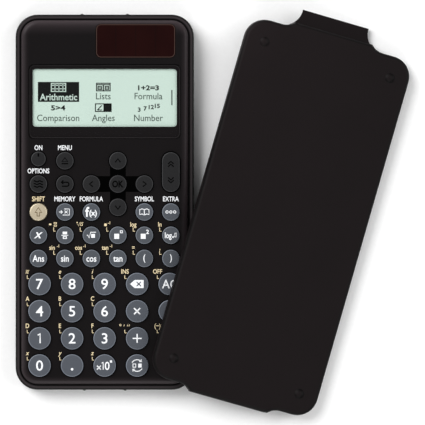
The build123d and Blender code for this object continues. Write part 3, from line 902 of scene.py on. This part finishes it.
def return_legend():
    """Arrow that turns back to the left."""
    turn = arc(0.85, 80, -90, (0.9, -0.1))
    draw = Drawing().line([(-1.5, 0.75), (0.9, 0.75)] + turn + [(-1.3, -0.95)], DARK_STROKE)
    return draw.line([(-0.65, 1.55), (-1.55, 0.75), (-0.65, 0.0)], DARK_STROKE)


def arrow_legend(turn):
    """One chevron that points up, turned anticlockwise in degrees."""
    angle = radians(turn)
    chevron = ((-1.1, -0.65), (0, 0.85), (1.1, -0.65))
    turned = [(x * cos(angle) - y * sin(angle), x * sin(angle) + y * cos(angle)) for x, y in chevron]
    return Drawing().line(turned, DARK_STROKE)


def delete_legend():
    """Filled tag that points left."""
    height = 3.5
    draw = Drawing().plate(3.9, height, (0.85, 0), 0.2)
    tag = bmesh.new()
    bmesh.ops.create_circle(tag, cap_ends=True, segments=3, radius=height / sqrt(3))
    bmesh.ops.rotate(tag, verts=tag.verts, matrix=Matrix.Rotation(pi / 2, 3, "Z"))
    bmesh.ops.scale(tag, vec=(0.66, 1, 1), verts=tag.verts)
    return draw.take_shape(tag, (-1.72, 0))


def exponent_legend():
    """Cross, ten, and a filled square as the exponent."""
    draw = Drawing()
    for slope in (-1, 1):
        draw.line([(-3.3, -0.9 - 0.85 * slope), (-1.6, -0.9 + 0.85 * slope)], BOLD_STROKE)
    draw.line([(-1.2, 1.0), (-0.6, 1.45), (-0.6, -1.75)], BOLD_STROKE)
    draw.words("0", 3.4, (1.1, -0.15), 0.012, 0.9)
    return draw.plate(0.95, 0.95, (2.75, 1.75))


def format_legend():
    """Two arrows round an open box and a filled one."""
    draw = Drawing()
    for turn in (0, 180):
        arrow = arc(2.5, turn + 150, turn + 40)
        draw.line(arrow, STROKE)
        tip_x, tip_y = arrow[-1]
        barb = 0.7 if turn == 0 else -0.7
        upper = (tip_x - 0.2 * barb, tip_y + 1.5 * barb)
        lower = (tip_x - 1.5 * barb, tip_y + 0.1)
        draw.line([upper, (tip_x, tip_y), lower], STROKE)
    draw.border(1.5, 1.7, 0.3, (-1.2, 0)).plate(1.5, 1.7, (1.2, 0))
    return draw


BAR = 0.52
BAR_LENGTH = 3.9


def plain_sign(sign):
    """Operator sign built from bars and dots."""
    draw = Drawing()
    if sign in "+-÷":
        draw.plate(BAR_LENGTH, BAR)
    if sign == "+":
        draw.plate(BAR, BAR_LENGTH)
    if sign == "÷":
        draw.disc(0.42, (0, 1.35)).disc(0.42, (0, -1.35))
    if sign == "×":
        for slope in (-1, 1):
            draw.line([(-1.35, -1.35 * slope), (1.35, 1.35 * slope)], 0.62)
    if sign == ".":
        draw.disc(0.55, (0, -1.6))
    if sign == "=":
        draw.plate(3.4, 0.5, (0, 0.75)).plate(3.4, 0.5, (0, -0.75))
    return draw


key_legends = {
    "variable": store_legend(),
    "function": function_legend(),
    "catalogue": book_legend(),
    "tools": rings_legend(),
    "x": sized_words("x", WORD, height=3.9, slant=0.35, width=1.0, bold=0.006, centred=True),
    "fraction": fraction_legend(),
    "root": root_legend(),
    "power": power_legend(),
    "square": square_number_legend(),
    "log": log_legend(),
    "answer": sized_words("Ans", WORD),
    "sine": sized_words("sin", WORD),
    "cosine": sized_words("cos", WORD),
    "tangent": sized_words("tan", WORD),
    "open_bracket": sized_words("(", WORD, centred=True, height=2.6),
    "close_bracket": sized_words(")", WORD, centred=True, height=2.6),
    "delete": delete_legend(),
    "all_clear": sized_words("AC", DIGIT, height=3.7, width=0.9),
    "multiply": plain_sign("×"),
    "divide": plain_sign("÷"),
    "add": plain_sign("+"),
    "subtract": plain_sign("-"),
    "point": plain_sign("."),
    "exponent": exponent_legend(),
    "format": format_legend(),
    "execute": plain_sign("="),
}
key_legends["1"] = Drawing().line([(-0.75, 1.35), (0.25, 2.0), (0.25, -2.1)], 0.66)
for digit in "023456789":
    key_legends[digit] = sized_words(digit, DIGIT)
dark_legends = {
    "on": tick_legend(),
    "home": house_legend(),
    "settings": waves_legend(),
    "back": return_legend(),
    "up": arrow_legend(0),
    "left": arrow_legend(90),
    "down": arrow_legend(180),
    "right": arrow_legend(270),
    "ok": sized_words("OK", WORD, height=2.7, width=0.8, bold=0.03),
}
gold_legends = {"shift": shift_legend()}
for legends, ink in ((key_legends, white_ink), (dark_legends, black_ink), (gold_legends, dark_gold_ink)):
    for key, draw in legends.items():
        node = "key_" + key
        draw.print_on(node + "_legend", node, ink, middle_of(node), key_surface(node), curved=True)


def above_delete_legend(x, y):
    """Top of the ink on the crown of the delete key."""
    return delete_crown(x, y) + INK


delete_crown = key_surface("key_delete")
cross = Drawing()
for slope in (-1, 1):
    cross.line([(-0.25, -0.95 * slope), (1.65, 0.95 * slope)], BOLD_STROKE)
delete_middle = middle_of("key_delete")
cross.print_on(
    "key_delete_cross", "key_delete", large_grey_key, delete_middle, above_delete_legend, curved=True
)

CHEVRON = (1.2, 1.1)
CHEVRON_TIPS = (3.4, 4.6)
chevrons = Drawing()
for end in (-1, 1):
    for tip in CHEVRON_TIPS:
        foot = end * (tip - CHEVRON[1])
        chevrons.line([(-CHEVRON[0], foot), (0, end * tip), (CHEVRON[0], foot)], DARK_STROKE)
rocker_top = level(top_of("page_rocker"))
chevrons.print_on("page_rocker_legend", "page_rocker", black_ink, middle_of("page_rocker"), rocker_top)

# ---- Printing on the case -------------------------------------------------------------------------
FACE_TOP = top_of("front_case")
NAME_STYLE = dict(height=2.0, bold=0.018, width=0.76)
NAME_LIFT = 5.65
ON_NAME_DROP = 0.8
key_names = {
    "on": "ON",
    "home": "MENU",
    "settings": "OPTIONS",
    "variable": "MEMORY",
    "function": "FORMULA",
    "catalogue": "SYMBOL",
    "tools": "EXTRA",
}
names = Drawing()
for key, text in key_names.items():
    key_x, key_y = middle_of("key_" + key)
    lift = NAME_LIFT - (ON_NAME_DROP if key == "on" else 0)
    names.words(text, at=(key_x, key_y + lift), **NAME_STYLE)
names.print_on("printed_key_names", "case", white_ink, (0, 0), level(FACE_TOP))

SECOND_STYLE = dict(height=1.85, bold=0.016, width=0.84)
SUPERSCRIPT = dict(height=1.15, bold=0.02, width=0.9)
HAIR = 0.2
second_words = {
    "square": "log",
    "log": "ln",
    "open_bracket": "=",
    "close_bracket": ",",
    "delete": "INS",
    "all_clear": "OFF",
    "4": "A",
    "5": "B",
    "6": "C",
    "1": "D",
    "2": "E",
    "3": "F",
    "subtract": "(−)",
}
second_letters = {"7": "π", "8": "e", "9": "i", "0": "x", "point": "y", "exponent": "z"}
inverses = {"sine": "sin", "cosine": "cos", "tangent": "tan"}


def degree_signs(draw, x, y):
    """Ring, stroke and double stroke, for degrees, minutes and seconds."""
    draw.ring(0.36, 0.22, (x - 2.0, y + 0.3))
    for stroke in (-0.2, 1.3, 2.0):
        draw.line([(x + stroke, y + 0.7), (x + stroke - 0.3, y - 0.2)], 0.3)


def mixed_fraction_sign(draw, x, y):
    """Filled square beside two open ones."""
    draw.plate(1.0, 0.7, (x - 1.6, y))
    for side in (-1, 1):
        draw.border(1.3, 0.75, HAIR, (x + 0.6, y + 0.55 * side))


def any_root_sign(draw, x, y):
    """Root sign with a small square for its index."""
    tick = [(-1.4, 0), (-1.1, 0.1), (-0.7, -0.8), (-0.2, 0.8), (1.3, 0.8)]
    draw.line([(x + across, y + up) for across, up in tick], HAIR)
    draw.border(1.0, 1.0, HAIR, (x + 0.5, y - 0.1)).plate(0.5, 0.5, (x - 1.4, y + 0.8))


def reciprocal_sign(draw, x, y):
    """Filled square to the power of minus one."""
    draw.plate(1.1, 1.1, (x - 0.6, y - 0.2)).words("-1", at=(x + 0.9, y + 0.65), **SUPERSCRIPT)


drawn_signs = {
    "add": degree_signs,
    "fraction": mixed_fraction_sign,
    "root": any_root_sign,
    "power": reciprocal_sign,
}


def second_sign(draw, key, x, y):
    """Gold sign of a key's second use, beside the key."""
    if key in second_words:
        draw.words(second_words[key], at=(x, y), **SECOND_STYLE)
    elif key in second_letters:
        draw.words(second_letters[key], at=(x, y), slant=0.3, **SECOND_STYLE)
    elif key in inverses:
        draw.words(inverses[key], at=(x - 0.8, y), **SECOND_STYLE)
        draw.words("-1", at=(x + 1.75, y + 0.65), **SUPERSCRIPT)
    else:
        drawn_signs[key](draw, x, y)


# Where the sign stands from its key's middle, and the left side, top and foot of its hook.
SMALL_SECOND = ((-4.75, 4.7), (-4.85, 3.35, 1.75))
LARGE_SECOND = ((-5.25, 5.4), (-5.35, 3.7, 2.35))
HOOK_FOOT = 0.75
HOOK_STROKE = 0.34
ONE_USE_KEYS = ("answer", "multiply", "divide", "format", "execute")
NAMED_SMALL_KEYS = 5
second_uses = Drawing()
for group, (sign_place, hook_place) in (
    (SMALL_KEYS[NAMED_SMALL_KEYS:], SMALL_SECOND),
    (LARGE_KEYS, LARGE_SECOND),
):
    for key in group:
        if key in ONE_USE_KEYS:
            continue
        key_x, key_y = middle_of("key_" + key)
        second_sign(second_uses, key, key_x + sign_place[0], key_y + sign_place[1])
        left, upper, lower = hook_place
        hook = [(left, upper), (left, lower), (left + HOOK_FOOT, lower)]
        second_uses.line([(key_x + x, key_y + y) for x, y in hook], HOOK_STROKE)
shift_x, shift_y = middle_of("key_shift")
second_uses.words("SHIFT", at=(shift_x, shift_y + NAME_LIFT), **NAME_STYLE)
second_uses.print_on("printed_second_uses", "case", gold_ink, (0, 0), level(FACE_TOP))

# Gloss black cross between the arrow keys, on the floor of its recess.
PAD_BAR = 6.8
PAD_RECESS = 0.25
PAD_PLAY = 0.06
KEY_HOLE = 4.06
# A grid of nine squares has its outer corners beyond this.
GRID_OUTER = 0.3
CUTTER_REACH = 1.0
pad_floor = FACE_TOP - PAD_RECESS
ok_middle = middle_of("key_ok")
pad_length = 2 * (middle_of("key_up")[1] - ok_middle[1]) - PAD_PLAY
pad_width = 2 * (middle_of("key_right")[0] - ok_middle[0]) - PAD_PLAY


def pad_cross():
    """Cross of two bars, from a grid of nine with its corners taken away."""
    shape = bmesh.new()
    bar = PAD_BAR - PAD_PLAY
    bmesh.ops.create_grid(shape, x_segments=3, y_segments=3, size=0.5)
    for vertex in shape.verts:
        half_width = (pad_width if abs(vertex.co.x) > GRID_OUTER else bar) / 2
        half_length = (pad_length if abs(vertex.co.y) > GRID_OUTER else bar) / 2
        vertex.co.x = half_width * (1 if vertex.co.x > 0 else -1)
        vertex.co.y = half_length * (1 if vertex.co.y > 0 else -1)
    middles = {face: face.calc_center_median() for face in shape.faces}
    corners = [face for face, at in middles.items() if abs(at.x) > bar / 2 and abs(at.y) > bar / 2]
    bmesh.ops.delete(shape, geom=corners, context="FACES")
    return shape


def cut_key_holes(piece):
    """Cut the five round key holes out of the cross."""
    holes = Drawing()
    for key in ("ok", "up", "down", "left", "right"):
        holes.disc(KEY_HOLE, middle_of("key_" + key))
    cutter = holes.print_on("cutter", "case", gloss_black, (0, 0), level(pad_floor))
    for vertex in cutter.data.vertices:
        vertex.co.z += CUTTER_REACH * MM * (1 if vertex.co.z > pad_floor * MM else -1)
    trim = piece.modifiers.new("holes", "BOOLEAN")
    trim.operation = "DIFFERENCE"
    trim.object = cutter
    trim.solver = "EXACT"
    bpy.context.view_layer.update()
    trimmed = piece.evaluated_get(bpy.context.evaluated_depsgraph_get())
    mesh = bpy.data.meshes.new_from_object(trimmed)
    piece.modifiers.clear()
    piece.data = mesh
    bpy.data.objects.remove(cutter)


cross_drawing = Drawing().take_shape(pad_cross(), (0, 0))
cut_key_holes(cross_drawing.print_on("arrow_pad_cross", "case", gloss_black, ok_middle, level(pad_floor)))

# ---- Window mask, solar border, display ------------------------------------------------------------
VIEW_SIZE = (62.2, 24.9)
VIEW_CORNER = 1.3
WINDOW_CORNER = 2.1
WINDOW_INSET = 0.25
MASK_SHEET = 0.06
LINE_INSET = 0.15
MASK_LINE = 0.16
SOLAR_LINE = 0.28
SOLAR_CORNER = 2.1


def framed_mask():
    """Mask with a rounded opening: two rounded outlines joined by a band."""
    window_low, window_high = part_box("display_window")
    view_x, view_y = middle_of("lcd_panel")
    width = (window_high.x - window_low.x) / MM - 2 * WINDOW_INSET
    height = (window_high.y - window_low.y) / MM - 2 * WINDOW_INSET
    middle_y = (window_low.y + window_high.y) / 2 / MM
    shape = rounded_face(width, height, WINDOW_CORNER)
    inner = rounded_face(*VIEW_SIZE, VIEW_CORNER)
    bmesh.ops.translate(inner, vec=(view_x, view_y - middle_y, 0), verts=inner.verts)
    opening = bpy.data.meshes.new("opening")
    inner.to_mesh(opening)
    inner.free()
    shape.from_mesh(opening)
    bpy.data.meshes.remove(opening)
    bmesh.ops.delete(shape, geom=shape.faces[:], context="FACES_ONLY")
    bmesh.ops.bridge_loops(shape, edges=shape.edges[:])
    return shape, (0, middle_y), (width, height)


mask_shape, mask_middle, mask_size = framed_mask()
window_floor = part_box("display_window")[0].z / MM + MASK_SHEET
mask = Drawing().take_shape(mask_shape, (0, 0))
mask.print_on("display_mask", "case", mask_black, mask_middle, level(window_floor))
line_size = [side - 2 * LINE_INSET for side in mask_size]
edge_line = Drawing().border(*line_size, MASK_LINE, corner=WINDOW_CORNER)
edge_line.print_on("display_mask_line", "case", line_ink, mask_middle, level(window_floor + INK))

solar_low, solar_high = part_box("solar_cell")
solar_size = [side / MM - 2 * LINE_INSET for side in (solar_high - solar_low)[:2]]
solar_border = Drawing().border(*solar_size, SOLAR_LINE, corner=SOLAR_CORNER)
solar_top = level(top_of("solar_cell"))
solar_border.print_on("solar_border", "case", solar_line_ink, middle_of("solar_cell"), solar_top)

COLUMN = 19.5
COLUMN_SHIFT = -0.6
CAPTION_ROWS = (0.75, -8.65)
CAPTION = dict(height=2.75, bold=0.004, width=0.92)
captions = (("Arithmetic", "Lists", "Formula"), ("Comparison", "Angles", "Number"))
columns = [COLUMN * step + COLUMN_SHIFT for step in (-1, 0, 1)]


def table_icon(draw, at):
    """Two columns of boxes."""
    x, y = at
    draw.border(6.3, 3.7, STROKE, at)
    draw.line([(x - 3.0, y + 1.0), (x + 3.0, y + 1.0)], STROKE)
    draw.line([(x, y + 1.0), (x, y - 1.7)], BOLD_STROKE)
    for side in (-1, 1):
        box_x = x + side * 1.55
        draw.border(1.9, 1.7, 0.4, (box_x, y - 0.4))
        draw.line([(box_x - 0.8, y - 0.4), (box_x + 0.8, y - 0.4)], 0.35)


def angle_icon(draw, at):
    """A filled half and an open half with a slope."""
    x, y = at
    draw.border(7.2, 3.7, STROKE, at).plate(3.4, 3.5, (x + 1.75, y))
    corner = (x - 2.6, y - 1.0)
    draw.line([corner, (x - 0.6, y + 1.0)], 0.4).line([corner, (x - 0.5, y - 1.0)], 0.4)


def grid_icon(draw, at):
    """Small sheet of cells."""
    x, y = at
    draw.border(6.6, 3.9, 0.4, at).line([(x - 3, y + 0.9), (x + 3, y + 0.9)], 0.5)
    for step in (-1.5, 0.2, 1.9):
        draw.line([(x + step, y + 1.8), (x + step, y - 1.8)], 0.4)
    draw.line([(x - 3, y - 0.6), (x + 3, y - 0.6)], 0.4)


CELL = (17.8, 8.6)
CELL_MIDDLE = (columns[0] + 0.15, 2.55)
SIGN_DOTS = dict(height=2.0, bold=0.03)
SMALL_DOTS = dict(height=1.7, bold=0.03, width=1.1)
NUMBER_LIFTS = {"3": -0.7, "7": -0.2, "12": 0.4, "15": 0.9}
NUMBER_PITCH = 2.6
SCROLL_BAR = [(29.0, 3.4), (29.0, -3.2)]
dark_dots = Drawing()
grey_dots = Drawing()
pale_dots = Drawing()
dark_dots.plate(*CELL, CELL_MIDDLE)
grid_icon(pale_dots, (CELL_MIDDLE[0], 4.5))
pale_dots.words(captions[0][0], at=(CELL_MIDDLE[0], 0.35), **{**CAPTION, "bold": 0.016})
table_icon(dark_dots, (columns[1], 4.65))
dark_dots.words("1+2=3", at=(columns[2], 4.3), width=1.25, **SIGN_DOTS)
dark_dots.words("5>4", at=(columns[0], -4.35), width=1.35, **SIGN_DOTS)
angle_icon(dark_dots, (columns[1], -4.25))
for place, (digits, lift) in enumerate(NUMBER_LIFTS.items()):
    dark_dots.words(digits, at=(columns[2] - 4 + NUMBER_PITCH * place, lift - 4.4), **SMALL_DOTS)
for texts, caption_y in zip(captions, CAPTION_ROWS):
    for text, column_x in zip(texts, columns):
        if text != captions[0][0]:
            grey_dots.words(text, at=(column_x, caption_y), **CAPTION)
dark_dots.line(SCROLL_BAR, 0.45)
view_middle = middle_of("lcd_panel")
lcd_top = top_of("lcd_panel")
dark_dots.print_on("display_dark_dots", "case", lcd_dark, view_middle, level(lcd_top))
grey_dots.print_on("display_grey_dots", "case", lcd_grey, view_middle, level(lcd_top))
pale_dots.print_on("display_pale_dots", "case", lcd_pale, view_middle, level(lcd_top + INK))


# ---- Floor ----------------------------------------------------------------------------------------
def lay_floor():
    """Large paper floor, just under the lowest point of the calculator."""
    ground = bmesh.new()
    bmesh.ops.create_grid(ground, x_segments=1, y_segments=1, size=FLOOR_SIZE / 2)
    bmesh.ops.translate(ground, vec=(0, 0, -FLOOR_DROP), verts=ground.verts)
    mesh = bpy.data.meshes.new("floor")
    ground.to_mesh(mesh)
    ground.free()
    mesh.materials.append(floor_finish("white_paper"))
    floor = bpy.data.objects.new("floor", mesh)
    bpy.context.scene.collection.objects.link(floor)


lay_floor()

# ---- The end --------------------------------------------------------------------------------------
bpy.context.view_layer.update()
